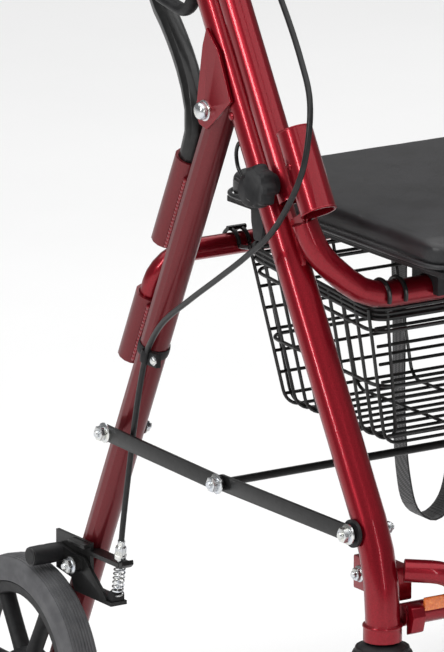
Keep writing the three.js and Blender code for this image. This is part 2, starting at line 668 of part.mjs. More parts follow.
for (const [side, s] of SIDES) {
  add(`front_leg_${side}`, frontLeg(s), RED);
  add(`handle_receiver_${side}`, handleReceiver(s), RED);
  add(`pivot_bracket_${side}`, pivotBracket(s), RED);
  add(`front_socket_${side}`, frontSocket(s), RED);
  add(`footrest_arm_${side}`, footrestArm(s), RED);
  add(`footplate_${side}`, footplate(s), PLASTIC);
  add(`rear_leg_${side}`, rearLeg(s), RED);
  add(`snap_button_${side}`, snapButton(s), BRASS);
  add(`rear_link_${side}`, rearLink(s), BLACK_STEEL);
  add(`front_link_${side}`, frontLink(s), BLACK_STEEL);
  add(`axle_bolt_${side}`, axleBolt(s), ZINC);
  add(`rear_tyre_${side}`, tyre(REAR_AXLE.x, s * REAR_WHEEL_Y, REAR_AXLE.z), TYRE);
  add(`rear_hub_${side}`, hub(REAR_AXLE.x, s * REAR_WHEEL_Y, REAR_AXLE.z), PLASTIC);
  add(`caster_fork_${side}`, casterFork(s), PLASTIC);
  add(`caster_tyre_${side}`, tyre(STEM_X - TRAIL, s * LEG_Y, WHEEL_R), TYRE);
  add(`caster_hub_${side}`, hub(STEM_X - TRAIL, s * LEG_Y, WHEEL_R), PLASTIC);
  add(`handle_tube_${side}`, handleTube(s), BLACK_STEEL);
  add(`grip_${side}`, grip(s), PLASTIC);
  add(`brake_housing_${side}`, brakeHousing(s), PLASTIC);
  add(`brake_lever_${side}`, brakeLever(s), PLASTIC);
  add(`height_knob_${side}`, heightKnob(s), PLASTIC);
  add(`brake_bracket_${side}`, brakeBracket(s), BLACK_STEEL);
  add(`brake_arm_${side}`, brakeArm(s), BLACK_STEEL);
  add(`brake_cable_upper_${side}`, cable(UPPER_CABLE, s, 14, 0), CABLE);
  add(`brake_cable_lower_${side}`, cable(LOWER_CABLE, s, 36, 1), CABLE);
}
add('front_crossbar', sweep(frontBarRoute(), BAR_R), RED);
add('foot_crossbar', footBar(), RED);
add('rear_crossbar', rearBar(), RED);
add('cross_rod', crossRod(), BLACK_STEEL);
add('backrest_hoop', backrestHoop(), BLACK_STEEL);
add('backrest_pad', backrestPad(), VINYL);
add('seat_board', seatBoard(), PLASTIC);
add('seat_pad', seatPad(), VINYL);
add('basket', basket(), WIRE);
add('strap', strap(), WEBBING);

export default root;
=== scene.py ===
"""Four-wheeled rollator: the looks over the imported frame. Metres, +X forwards, +Y left, +Z up."""
import json
import math

import bmesh
import bpy
from mathutils import Matrix, Vector


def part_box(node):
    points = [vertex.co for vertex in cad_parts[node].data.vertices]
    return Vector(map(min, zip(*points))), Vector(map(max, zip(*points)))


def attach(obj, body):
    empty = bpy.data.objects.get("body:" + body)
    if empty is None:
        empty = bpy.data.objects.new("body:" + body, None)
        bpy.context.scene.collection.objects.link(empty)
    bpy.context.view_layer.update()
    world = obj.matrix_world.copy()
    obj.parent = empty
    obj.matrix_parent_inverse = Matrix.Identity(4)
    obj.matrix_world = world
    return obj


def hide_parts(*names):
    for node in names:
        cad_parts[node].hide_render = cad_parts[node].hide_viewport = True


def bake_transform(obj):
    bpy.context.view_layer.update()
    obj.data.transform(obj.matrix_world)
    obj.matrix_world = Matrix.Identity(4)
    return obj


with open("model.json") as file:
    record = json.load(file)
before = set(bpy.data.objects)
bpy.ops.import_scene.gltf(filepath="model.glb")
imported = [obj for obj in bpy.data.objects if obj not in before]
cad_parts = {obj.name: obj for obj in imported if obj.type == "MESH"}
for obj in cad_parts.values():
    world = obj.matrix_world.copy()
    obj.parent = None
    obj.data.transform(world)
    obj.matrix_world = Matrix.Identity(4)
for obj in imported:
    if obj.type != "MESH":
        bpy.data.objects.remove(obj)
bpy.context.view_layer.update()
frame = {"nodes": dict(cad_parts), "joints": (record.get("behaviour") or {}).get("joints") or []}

MM = 0.001
SIDES = (("right", -1), ("left", 1))
NODES = frame["nodes"]
JOINTS = {joint["name"]: joint for joint in frame["joints"]}

# ---- places, from the frame


def pivot(joint):
    x, _, z = JOINTS[joint]["pos_m"]
    return Vector((x, 0, z))


def middle(node):
    low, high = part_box(node)
    return (Vector(low) + Vector(high)) / 2


def outset(joint):
    """How far a joint is from the middle plane."""
    return abs(JOINTS[joint]["pos_m"][1])


LEG_Y = outset("caster_swivel_right")
WHEEL_Y = outset("rear_wheel_spin_right")
WHEEL_R = JOINTS["rear_wheel_spin_right"]["pos_m"][2]
FRAME_PIVOT = pivot("frame_fold")
REAR_AXLE = pivot("rear_wheel_spin_right")
REAR_BAR = pivot("basket_level")
LINK_REAR = pivot("rear_link_turn")
LINK_FRONT = pivot("front_link_turn")
LINK_MID = middle("cross_rod")
KNOB = pivot("knob_turn_right")
LEVER = pivot("brake_squeeze_right")
BRAKE = pivot("brake_press_right")
FRONT_BAR = pivot("seat_flip")
STEM = pivot("caster_swivel_right")

# Centre lines of the legs: a point on each, and X gained for each unit of height.
LEG_TOP_X, LEG_TOP_Z, LEG_SLOPE = 6 * MM, 745 * MM, 0.59
REAR_FOOT_X, REAR_FOOT_Z, REAR_SLOPE = -223.5 * MM, 100 * MM, 260.5 / 548
REAR_TOP_Z = 648 * MM


def at(x, y, z):
    """A point given in millimetres."""
    return Vector((x, y, z)) * MM


def mm(*points):
    """Plane points given in millimetres."""
    return [tuple(value * MM for value in point) for point in points]


def leg_x(z):
    """X of the front leg's centre line at height z, above the knee."""
    return LEG_TOP_X + LEG_SLOPE * (LEG_TOP_Z - z)


def rear_x(z):
    """X of the rear leg's centre line at height z."""
    return REAR_FOOT_X + REAR_SLOPE * (z - REAR_FOOT_Z)


def leg_point(z, forward, y):
    """A point beside the front leg: forward is measured square to it."""
    lean = math.hypot(1, LEG_SLOPE)
    return Vector((leg_x(z) + forward / lean, y, z + forward * LEG_SLOPE / lean))


LEG_AXIS = Vector((-LEG_SLOPE, 0, 1)).normalized()
REAR_AXIS = Vector((REAR_SLOPE, 0, 1)).normalized()
REAR_BACK = Vector((-REAR_AXIS.z, 0, REAR_AXIS.x))

# ---- camera, light, floor

CAMERA_AIM = Vector((0.029, -0.270, 0.4527))
CAMERA_AZIMUTH, CAMERA_ELEVATION = math.radians(57), math.radians(14.6)
CAMERA_DISTANCE = 6.4
SENSOR_WIDTH, LENS = 36, 632.43243


def make_camera():
    flat = math.cos(CAMERA_ELEVATION) * CAMERA_DISTANCE
    place = CAMERA_AIM + Vector((
        math.sin(CAMERA_AZIMUTH) * flat,
        -math.cos(CAMERA_AZIMUTH) * flat,
        math.sin(CAMERA_ELEVATION) * CAMERA_DISTANCE,
    ))
    data = bpy.data.cameras.new("camera")
    data.sensor_fit = "HORIZONTAL"
    data.sensor_width = SENSOR_WIDTH
    data.lens = LENS
    camera = bpy.data.objects.new("camera", data)
    camera.location = place
    camera.rotation_euler = (CAMERA_AIM - place).to_track_quat("-Z", "Y").to_euler()
    bpy.context.scene.collection.objects.link(camera)
    bpy.context.scene.camera = camera


def area_light(name, place, aim, power, size, colour=(1, 1, 1)):
    data = bpy.data.lights.new(name, "AREA")
    data.energy = power
    data.shape = "RECTANGLE"
    data.size, data.size_y = size
    data.color = colour
    light = bpy.data.objects.new(name, data)
    light.location = place
    light.rotation_euler = (Vector(aim) - Vector(place)).to_track_quat("-Z", "Y").to_euler()
    bpy.context.scene.collection.objects.link(light)


def make_studio():
    area_light("ceiling", (0, 0.5, 4.5), (0, 0.5, 0), 390, (9, 9))
    area_light("key", (0.6, -3.0, 2.0), (0.1, -0.1, 0.4), 34, (0.3, 1.8))
    area_light("strip", (3.4, -0.9, 1.3), (0.1, -0.1, 0.4), 10, (0.25, 2.0))
    world = bpy.data.worlds.new("studio")
    world.use_nodes = True
    background = world.node_tree.nodes["Background"]
    background.inputs["Color"].default_value = (1, 1, 1, 1)
    background.inputs["Strength"].default_value = 0.22
    bpy.context.scene.world = world
    bpy.context.scene.view_settings.view_transform = "Standard"
    mesh = bpy.data.meshes.new("floor")
    reach = 30
    corners = [(-reach, -reach, 0), (reach, -reach, 0), (reach, reach, 0), (-reach, reach, 0)]
    mesh.from_pydata(corners, [], [(0, 1, 2, 3)])
    floor = bpy.data.objects.new("floor", mesh)
    bpy.context.scene.collection.objects.link(floor)
    shade = Finish("floor_paint", (0.93, 0.93, 0.93), roughness=0.7)
    shade.mottle((0.95, 0.95, 0.95), scale=2)
    floor.data.materials.append(shade.material)

# ---- finishes


class Finish:
    """A Principled material that is built up from noise, grain and bump layers."""

    def __init__(self, name, colour, roughness=0.5, metallic=0.0, coat=0.0, coat_roughness=0.05,
                 sheen=0.0, specular=0.5):
        self.material = bpy.data.materials.new(name)
        self.material.use_nodes = True
        self.tree = self.material.node_tree
        self.shader = self.tree.nodes["Principled BSDF"]
        self.colour = colour
        self.height = None
        for key, value in (
            ("Roughness", roughness), ("Metallic", metallic), ("Coat Weight", coat),
            ("Coat Roughness", coat_roughness), ("Sheen Weight", sheen), ("Specular IOR Level", specular),
        ):
            self.shader.inputs[key].default_value = value
        self.shader.inputs["Base Color"].default_value = (*colour, 1)
        self.coordinates = self.tree.nodes.new("ShaderNodeTexCoord").outputs["Object"]

    def node(self, kind, **sockets):
        node = self.tree.nodes.new(kind)
        for key, value in sockets.items():
            node.inputs[key].default_value = value
        return node

    def join(self, source, target):
        self.tree.links.new(source, target)

    def noise(self, scale, detail=4.0, kind="ShaderNodeTexNoise"):
        soft = kind == "ShaderNodeTexNoise"
        node = self.node(kind, Scale=scale, **({"Detail": detail} if soft else {}))
        self.join(self.coordinates, node.inputs["Vector"])
        return node.outputs["Fac" if soft else "Distance"]

    def mottle(self, other, scale, detail=4.0):
        """The colour drifts to another one in soft patches."""
        ramp = self.tree.nodes.new("ShaderNodeValToRGB")
        for stop, place, colour in zip(ramp.color_ramp.elements, (0.35, 0.65), (self.colour, other)):
            stop.position = place
            stop.color = (*colour, 1)
        self.join(self.noise(scale, detail), ramp.inputs["Fac"])
        self.join(ramp.outputs["Color"], self.shader.inputs["Base Color"])
        return self

    def rough(self, low, high, scale, detail=5.0):
        """Roughness varies between two values."""
        spread = self.node("ShaderNodeMapRange", **{"To Min": low, "To Max": high})
        self.join(self.noise(scale, detail), spread.inputs["Value"])
        self.join(spread.outputs["Result"], self.shader.inputs["Roughness"])
        return self

    def bump(self, source, depth, strength=1.0):
        """Adds a relief, depth in metres, over any relief that is there already."""
        node = self.node("ShaderNodeBump", Strength=strength, Distance=depth)
        self.join(source, node.inputs["Height"])
        if self.height is not None:
            self.join(self.height, node.inputs["Normal"])
        self.height = node.outputs["Normal"]
        self.join(self.height, self.shader.inputs["Normal"])
        return self

    def grain(self, scale, detail, depth, strength):
        """A relief of soft noise."""
        return self.bump(self.noise(scale, detail), depth, strength)

    def cells(self, scale, depth, strength):
        """A relief of small cells, as on leather or a moulded face."""
        return self.bump(self.noise(scale, kind="ShaderNodeTexVoronoi"), depth, strength)

    def ribs(self, direction, scale, depth, strength):
        """A relief of parallel ribs."""
        wave = self.node("ShaderNodeTexWave", Scale=scale, Distortion=0.4)
        wave.bands_direction = direction
        self.join(self.coordinates, wave.inputs["Vector"])
        return self.bump(wave.outputs["Fac"], depth, strength)


def grey(value):
    return value, value, value


def make_finishes():
    """The paints by name. Depths are in metres, and scales in cells for each metre."""
    finishes = {
        "red": Finish("cherry_lacquer", (0.22, 0.003, 0.010), metallic=0.65, coat=0.4, specular=0.3)
        .mottle((0.28, 0.005, 0.015), 900, 2).rough(0.24, 0.36, 420).grain(260, 2, 0.00004, 0.4),

        # The frame's red lacquer made darker for the rear leg: painted shade on the same paint, not a second
        # paint.
        "red_with_painted_shade": Finish("red_lacquer_painted_shade", (0.13, 0.008, 0.012), metallic=0.5, coat=0.4,
                           coat_roughness=0.08, specular=0.3)
        .mottle((0.16, 0.011, 0.016), 900, 2).rough(0.3, 0.42, 420).grain(260, 2, 0.00004, 0.4),

        "bead": Finish("weld_lacquer", (0.27, 0.010, 0.02), metallic=0.5, coat=0.8, coat_roughness=0.15)
        .mottle((0.20, 0.008, 0.014), 300).rough(0.3, 0.5, 500).grain(700, 3, 0.0002, 0.6),

        "black_steel": Finish("black_powder_coat", grey(0.006), coat=0.3, coat_roughness=0.2, specular=0.25)
        .mottle(grey(0.011), 180).rough(0.3, 0.45, 300).grain(1400, 3, 0.00005, 0.5),

        "plastic": Finish("moulded_plastic", (0.008, 0.008, 0.009), specular=0.3)
        .mottle((0.015, 0.015, 0.016), 160).rough(0.42, 0.6, 240).cells(1800, 0.00006, 0.5),

        "zinc": Finish("bright_zinc", (0.62, 0.65, 0.70), metallic=1.0)
        .mottle((0.72, 0.72, 0.68), 120).rough(0.16, 0.34, 600).grain(900, 4, 0.00003, 0.4),

        "brass": Finish("brass", (0.62, 0.42, 0.17), metallic=1.0)
        .mottle((0.7, 0.5, 0.26), 500).rough(0.2, 0.4, 700),

        "tyre": Finish("grey_polyurethane", (0.085, 0.085, 0.09), specular=0.3)
        .mottle((0.115, 0.115, 0.12), 90).rough(0.5, 0.72, 150).grain(1100, 4, 0.00012, 0.5),

        "wire": Finish("plastic_dip", grey(0.005), coat=0.3, coat_roughness=0.12, specular=0.25)
        .mottle(grey(0.010), 300).rough(0.25, 0.4, 260).grain(500, 2, 0.0001, 0.4),

        "cable": Finish("cable_sheath", (0.006, 0.006, 0.007), specular=0.35)
        .mottle(grey(0.012), 200).rough(0.3, 0.44, 300),

        "amber": Finish("amber_reflector", (0.75, 0.14, 0.02), coat=0.8)
        .mottle((0.9, 0.24, 0.04), 260).rough(0.12, 0.3, 500).cells(420, 0.0005, 0.8),

        "vinyl": Finish("grained_vinyl", (0.011, 0.011, 0.012), coat=0.2, coat_roughness=0.3, specular=0.35)
        .mottle((0.019, 0.019, 0.021), 35).rough(0.34, 0.5, 70)
        .cells(1000, 0.00022, 0.6).grain(55, 4, 0.0008, 0.3),

        "webbing": Finish("black_webbing", (0.012, 0.012, 0.013), sheen=0.35)
        .mottle((0.026, 0.026, 0.028), 420).rough(0.7, 0.95, 300)
        .ribs("Z", 190, 0.0004, 0.7).ribs("Y", 260, 0.0004, 0.7),
    }
    return {name: finish.material for name, finish in finishes.items()}


make_camera()
make_studio()
PAINT = make_finishes()

# ---- mesh helpers


def piece(name, mesh_data, paint, body=None, smooth=40):
    """Links a mesh from (vertices, faces) or a bmesh, with smooth faces that break at sharp edges."""
    mesh = bpy.data.meshes.new(name)
    if isinstance(mesh_data, bmesh.types.BMesh):
        mesh_data.to_mesh(mesh)
        mesh_data.free()
    else:
        mesh.from_pydata([tuple(v) for v in mesh_data[0]], [], mesh_data[1])
    mesh.polygons.foreach_set("use_smooth", [True] * len(mesh.polygons))
    mesh.set_sharp_from_angle(angle=math.radians(smooth))
    mesh.materials.append(PAINT[paint])
    obj = bpy.data.objects.new(name, mesh)
    bpy.context.scene.collection.objects.link(obj)
    if body:
        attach(obj, body)
    return obj


def on_both_sides(*builders):
    """Calls each builder with the side's name and its sign of Y."""
    for side, s in SIDES:
        for build in builders:
            build(side, s)


def merged(*parts):
    """Several (vertices, faces) meshes as one."""
    verts, faces = [], []
    for part_verts, part_faces in parts:
        base = len(verts)
        verts.extend(part_verts)
        faces.extend(tuple(i + base for i in face) for face in part_faces)
    return verts, faces


def fillet(corners, bend, step=8):
    """Corner points joined by straight runs and circular bends."""
    route = [corners[0].copy()]
    for before, here, after in zip(corners, corners[1:], corners[2:]):
        back, ahead = (before - here).normalized(), (after - here).normalized()
        turn = math.pi - back.angle(ahead)
        reach = bend * math.tan(turn / 2)
        centre = here + (back + ahead).normalized() * (bend / math.cos(turn / 2))
        spoke_a, spoke_b = here + back * reach - centre, here + ahead * reach - centre
        steps = max(2, math.ceil(math.degrees(turn) / step))
        for k in range(steps + 1):
            share = turn * k / steps
            route.append(
                centre + spoke_a * (math.sin(turn - share) / math.sin(turn))
                + spoke_b * (math.sin(share) / math.sin(turn))
            )
    route.append(corners[-1].copy())
    return route


SPLINE_STEPS = 24


def smooth(points):
    """A smooth curve through the given points, with SPLINE_STEPS from each to the next."""
    knots = [points[0] * 2 - points[1], *points, points[-1] * 2 - points[-2]]
    fine = []
    for i in range(1, len(knots) - 2):
        p0, p1, p2, p3 = knots[i - 1:i + 3]
        t1 = (p1 - p0).length ** 0.5
        t2 = t1 + (p2 - p1).length ** 0.5
        t3 = t2 + (p3 - p2).length ** 0.5
        for k in range(SPLINE_STEPS):
            t = t1 + (t2 - t1) * k / SPLINE_STEPS
            a1 = p0 * ((t1 - t) / t1) + p1 * (t / t1)
            a2 = p1 * ((t2 - t) / (t2 - t1)) + p2 * ((t - t1) / (t2 - t1))
            a3 = p2 * ((t3 - t) / (t3 - t2)) + p3 * ((t - t2) / (t3 - t2))
            b1 = a1 * ((t2 - t) / t2) + a2 * (t / t2)
            b2 = a2 * ((t3 - t) / (t3 - t1)) + a3 * ((t - t1) / (t3 - t1))
            fine.append(b1 * ((t2 - t) / (t2 - t1)) + b2 * ((t - t1) / (t2 - t1)))
    fine.append(points[-1].copy())
    return fine


def spline(points, count):
    """Evenly spaced points on a smooth curve through the given ones."""
    return even(smooth(points), count)


def route_length(route):
    return sum((b - a).length for a, b in zip(route, route[1:]))


def even(route, count):
    """The same line with count equal steps."""
    lengths = [0.0]
    for a, b in zip(route, route[1:]):
        lengths.append(lengths[-1] + (b - a).length)
    spaced, j = [], 0
    for k in range(count + 1):
        goal = lengths[-1] * k / count
        while j < len(route) - 2 and lengths[j + 1] < goal:
            j += 1
        span = lengths[j + 1] - lengths[j] or 1
        spaced.append(route[j].lerp(route[j + 1], (goal - lengths[j]) / span))
    return spaced


def tube(route, radius, sides=20, closed=False, wide=None, side_axis=None):
    """A swept round or oval tube. radius may be a function of the share of the way along.

    An oval one has the half width wide along side_axis and radius across it.
    """
    count = len(route)
    size = radius if callable(radius) else lambda share: radius
    verts, faces = [], []
    normal = None
    for i, here in enumerate(route):
        before = route[i - 1] if i or closed else here
        after = route[(i + 1) % count] if i < count - 1 or closed else here
        way = (after - before).normalized()
        if normal is None:
            normal = Vector(side_axis) if side_axis else way.orthogonal()
        normal = (normal - way * normal.dot(way)).normalized()
        across = way.cross(normal)
        r = size(i / max(1, count - 1))
        for k in range(sides):
            angle = 2 * math.pi * k / sides
            along = normal * (math.cos(angle) * (wide or r))
            verts.append(here + along + across * (math.sin(angle) * r))
    loops = count if closed else count - 1
    for i in range(loops):
        for k in range(sides):
            a, b = i * sides + k, i * sides + (k + 1) % sides
            c, d = (b + sides) % (count * sides), (a + sides) % (count * sides)
            faces.append((a, b, c, d))
    if not closed:
        faces.append(tuple(range(sides - 1, -1, -1)))
        faces.append(tuple(range((count - 1) * sides, count * sides)))
    return verts, faces


def mirrored(half, between=()):
    """A turned profile in millimetres: the half below, the points between, and the half above."""
    return mm(*((r, -h) for r, h in half), *between, *reversed(half))


def turned(profile, place, axis=(0, 1, 0), sides=48):
    """Turns a closed profile of (radius, height) points about an axis.

    Points of radius 0 close the ends. A profile without them is a ring.
    """
    turn = Vector((0, 0, 1)).rotation_difference(Vector(axis).normalized()).to_matrix()
    verts, rings, faces = [], [], []
    for r, h in profile:
        if r < 1e-7:
            rings.append([len(verts)] * sides)
            verts.append(Vector(place) + turn @ Vector((0, 0, h)))
        else:
            rings.append(list(range(len(verts), len(verts) + sides)))
            for k in range(sides):
                angle = 2 * math.pi * k / sides
                verts.append(Vector(place) + turn @ Vector((r * math.cos(angle), r * math.sin(angle), h)))
    pairs = list(zip(rings, rings[1:]))
    if profile[0][0] > 1e-7:
        pairs.append((rings[-1], rings[0]))
    for low, high in pairs:
        for k in range(sides):
            corner = [low[k], low[(k + 1) % sides], high[(k + 1) % sides], high[k]]
            face = tuple(dict.fromkeys(corner))
            if len(face) > 2:
                faces.append(face)
    return verts, faces


def slab(outline, y0, y1, chamfer=0.0006):
    """A plate drawn by (x, z) points, spanning y0..y1, with rounded edges."""
    shape = bmesh.new()
    low, high = sorted((y0, y1))
    bottom = [shape.verts.new((x, low, z)) for x, z in outline]
    top = [shape.verts.new((x, high, z)) for x, z in outline]
    count = len(outline)
    shape.faces.new(bottom)
    shape.faces.new(top[::-1])
    for i in range(count):
        j = (i + 1) % count
        shape.faces.new((bottom[i], top[i], top[j], bottom[j]))
    bmesh.ops.recalc_face_normals(shape, faces=shape.faces)
    if chamfer:
        sharp = [e for e in shape.edges if e.calc_face_angle(0) > math.radians(30)]
        bmesh.ops.bevel(shape, geom=sharp, offset=chamfer, segments=2, profile=0.6, affect="EDGES")
    return raw(shape)


def brick(low, high, chamfer=0.001):
    """A block between two corners, with rounded edges along Y."""
    (x0, y0, z0), (x1, y1, z1) = low, high
    return slab([(x0, z0), (x1, z0), (x1, z1), (x0, z1)], y0, y1, chamfer)


def raw(shape):
    """(vertices, faces) of a bmesh, which is freed."""
    shape.verts.index_update()
    data = [v.co.copy() for v in shape.verts], [tuple(v.index for v in f.verts) for f in shape.faces]
    shape.free()
    return data


def bar_outline(a, b, width, steps=10):
    """A bar with round ends between two points of the XZ plane."""
    way = (b - a).normalized()
    base = math.atan2(way.z, way.x)
    outline = []
    for centre, start in ((b, base - math.pi / 2), (a, base + math.pi / 2)):
        for k in range(steps + 1):
            angle = start + math.pi * k / steps
            outline.append((centre.x + width / 2 * math.cos(angle), centre.z + width / 2 * math.sin(angle)))
    return outline


def hex_outline(centre, across):
    """A hexagon in the XZ plane, across its flats."""
    corner = across / math.sqrt(3)
    return [
        (centre.x + corner * math.cos(math.pi * k / 3), centre.z + corner * math.sin(math.pi * k / 3))
        for k in range(6)
    ]


def bead(route, radius, spacing=0.0022):
    """A weld bead: a run of overlapping ripples along a line."""
    steps = max(8, int(route_length(route) / spacing) * 4)

    def ripple(share):
        return radius * (0.82 + 0.22 * abs(math.sin(share * steps * math.pi / 4)))

    return tube(even(route, steps), ripple, sides=10)


# ---- brake cables

CABLE_R = 2.5 * MM
# The route that the CAD cables follow, in millimetres: X, distance outside the leg's plane, Z.
CABLE_MEET = (200, 28, 679)
UPPER_CABLE = ((31, 0, 792), (60, 1, 792), (98, 3, 770), (128, 7, 743), (170, 17, 706), CABLE_MEET)
LOWER_CABLE = (
    CABLE_MEET, (210, 36, 650), (207, 41, 620), (172, 43, 570), (128, 41, 538), (82, 37, 510),
    (26, 30, 478), (-23, 24, 448), (-46, 20, 428), (-60, 17, 412), (-74, 16.5, 370), (-90, 16.5, 297),
    (-102, 15, 246), (-108, 13, 224),
)
UPPER_STEPS, LOWER_STEPS = 70, 180


def cable_halves(s):
    """One smooth route, cut where it is tied to the front frame."""
    knots = UPPER_CABLE + LOWER_CABLE[1:]
    route = smooth([at(x, s * (LEG_Y / MM + out), z) for x, out, z in knots])
    meet = SPLINE_STEPS * (len(UPPER_CABLE) - 1)
    return even(route[:meet + 1], UPPER_STEPS), even(route[meet:], LOWER_STEPS)


def brake_cables(side, s):
    """The cable's upper and lower halves as two tubes, left where they are built and attached to no body."""
    upper, lower = cable_halves(s)
    tie = at(-46, s * 290, 428)
    for half, line, bodies, end in (
        ("upper", upper, (f"handle_{side}", "front_frame"), upper[-1]),
        ("lower", lower, ("front_frame", "rear_frame"), tie),
    ):
        cable = piece(f"cable_{half}_{side}", tube(line, CABLE_R, 14), "cable")
        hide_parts(f"brake_cable_{half}_{side}")
        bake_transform(cable)


on_both_sides(brake_cables)

# ---- carried-over CAD nodes
CAD_PAINT = {
    node: paint for paint, nodes in (
        ("red", "front_leg handle_receiver pivot_bracket front_socket footrest_arm"),
        # The rear leg takes the red lacquer darkened with painted shade.
        ("red", "front_crossbar foot_crossbar rear_crossbar"), ("red_with_painted_shade", "rear_leg"),
        ("black_steel", "rear_link front_link cross_rod handle_tube backrest_hoop"),
        ("black_steel", "brake_bracket brake_arm"), ("plastic", "brake_housing brake_lever grip"),
        ("plastic", "footplate caster_fork seat_board rear_hub caster_hub height_knob"),
        ("brass", "snap_button"), ("zinc", "axle_bolt"), ("tyre", "rear_tyre caster_tyre"),
        ("vinyl", "seat_pad backrest_pad"), ("wire", "basket"), ("webbing", "strap"),
        ("cable", "brake_cable_upper brake_cable_lower"),
    ) for node in nodes.split()
}


def base_name(node):
    return node.removesuffix("_right").removesuffix("_left")


def paint_cad():
    for name, obj in NODES.items():
        obj.data.materials.clear()
        obj.data.materials.append(PAINT[CAD_PAINT[base_name(name)]])


paint_cad()


def fine_copy(node, body, edge):
    """Stands for a CAD node with rounded edges and smooth faces on the same shape."""
    low = bmesh.new()
    low.from_mesh(NODES[node].data)
    bmesh.ops.remove_doubles(low, verts=low.verts, dist=1e-6)
    bmesh.ops.dissolve_limit(low, angle_limit=math.radians(1), verts=low.verts, edges=low.edges)
    bmesh.ops.recalc_face_normals(low, faces=low.faces)
    obj = piece(f"{node}_body", low, CAD_PAINT[base_name(node)], body)
    rounding = obj.modifiers.new("rounding", "BEVEL")
    rounding.width = edge
    rounding.segments = 2
    rounding.limit_method = "ANGLE"
    rounding.angle_limit = math.radians(35)
    rounding.harden_normals = True
    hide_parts(node)


def fine_copies():
    """The frame's tubes and plates, and what is bolted to them."""
    plate_edge, tube_edge = 0.7 * MM, 0.5 * MM
    for side, _ in SIDES:
        for node, body in (
            ("pivot_bracket", "front_frame"), ("brake_bracket", "rear_frame"),
            ("caster_fork", f"caster_{side}"), ("brake_arm", f"brake_{side}"),
            ("footplate", f"foot_flap_{side}"), ("brake_housing", f"handle_{side}"),
        ):
            fine_copy(f"{node}_{side}", body, plate_edge)
        for node, body in (
            ("front_leg", "front_frame"), ("handle_receiver", "front_frame"),
            ("front_socket", "front_frame"), ("footrest_arm", "front_frame"),
            ("rear_leg", "rear_frame"), ("handle_tube", f"handle_{side}"),
        ):
            fine_copy(f"{node}_{side}", body, tube_edge)
    for node, body in (
        ("front_crossbar", "front_frame"), ("foot_crossbar", "front_frame"),
        ("rear_crossbar", "rear_frame"), ("cross_rod", "front_links"),
        ("backrest_hoop", "rear_frame"), ("seat_board", "seat"),
    ):
        fine_copy(node, body, tube_edge)


fine_copies()


def links(side, s):
    """The two flat bars that fold at the middle pin."""
    width, thick = 14 * MM, 3
    for node, ends, inner, body in (
        ("rear_link", (LINK_REAR, LINK_MID), 292, "rear_links"),
        ("front_link", (LINK_MID, LINK_FRONT), 288, "front_links"),
    ):
        bar = slab(bar_outline(*ends, width), s * inner * MM, s * (inner + thick) * MM, 0.0005)
        flat = piece(f"{node}_bar_{side}", bar, "black_steel", body)
        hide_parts(f"{node}_{side}")


on_both_sides(links)

# ---- wheels


def wheel(kind, side, place):
    """Solid tyre with ribs and grooves, and a spoked hub. Its body has the wheel's name."""
    name = f"{kind}_wheel_{side}"
    shoulder = [(78, 13), (88, 14.2), (94, 14.8), (97, 13), (98.6, 10.6)]
    pitch, groove, fall = 2.9, 0.0009, 0.00022
    ribs = []
    for k in range(-3, 4):
        z = k * pitch * MM
        crown = WHEEL_R - 0.0001 - abs(k) * fall
        ribs += [
            (crown - groove, z - 1.25 * MM), (crown, z - 0.85 * MM),
            (crown, z + 0.85 * MM), (crown - groove, z + 1.25 * MM),
        ]
    tread = mm(*((r, -h) for r, h in shoulder)) + ribs + mm(*reversed(shoulder))
    tyre = piece(f"{name}_tyre", turned(tread, place, sides=96), "tyre", name)
    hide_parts(f"{kind}_tyre_{side}")

    rim = turned(mirrored([(67, 8), (69, 11), (77, 12.4), (78, 11)]), place, sides=72)
    boss = turned(mirrored([(4.6, 14), (15, 14), (17, 12), (19, 3)]), place, sides=40)
    spokes = []
    for k in range(6):
        turn = Matrix.Rotation(k * math.pi / 3, 4, "Y")
        route = [turn @ Vector((x * MM, 0, 0)) + Vector(place) for x in (14, 22, 34, 48, 60, 69)]
        spokes.append(tube(route, lambda t: (6.5 - 1.8 * math.sin(math.pi * t)) * MM, 14,
                           wide=8 * MM, side_axis=turn @ Vector((0, 1, 0))))
    hub = piece(f"{name}_hub", merged(rim, boss, *spokes), "plastic", name, smooth=50)
    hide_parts(f"{kind}_hub_{side}")


def wheels(side, s):
    """The wheels, and the caster's axle nuts and cap."""
    leg = Vector((0, s * LEG_Y, 0))
    wheel("rear", side, REAR_AXLE + Vector((0, s * WHEEL_Y, 0)))
    caster = pivot(f"caster_wheel_spin_{side}") + leg
    wheel("caster", side, caster)
    dome = mm((0, 4.5), (4, 4), (6.5, 2), (7, 0), (7, -3), (0, -3))
    nuts = [turned(dome, caster + Vector((0, face * 28 * MM, 0)), (0, face, 0), 24) for face in (-1, 1)]
    piece(f"caster_nuts_{side}", merged(*nuts), "zinc", f"caster_{side}")
    cap = mm((9.4, 3.2), (14, 2.2), (20, -1), (24, -5), (26.6, -11), (27.4, -17), (25, -18), (9.4, -18))
    piece(f"caster_cap_{side}", turned(cap, STEM + leg, (0, 0, 1)), "plastic", f"caster_{side}")


on_both_sides(wheels)

# ---- seat and backrest


CLOTH_FRAMES = 20


def pad_blank(low, high, corner, inset):
    """A box with rounded upright corners, a little smaller than the room it will fill."""
    shape = bmesh.new()
    lo, hi = Vector(low) + Vector(inset), Vector(high) - Vector(inset)
    rings = [
        [shape.verts.new(point) for point in rounded_loop(lo, hi, corner, z)] for z in (lo.z, hi.z)
    ]
    shape.faces.new(rings[0][::-1])
    shape.faces.new(rings[1])
    for i in range(len(rings[0])):
        j = (i + 1) % len(rings[0])
        shape.faces.new((rings[0][i], rings[0][j], rings[1][j], rings[1][i]))
    return shape


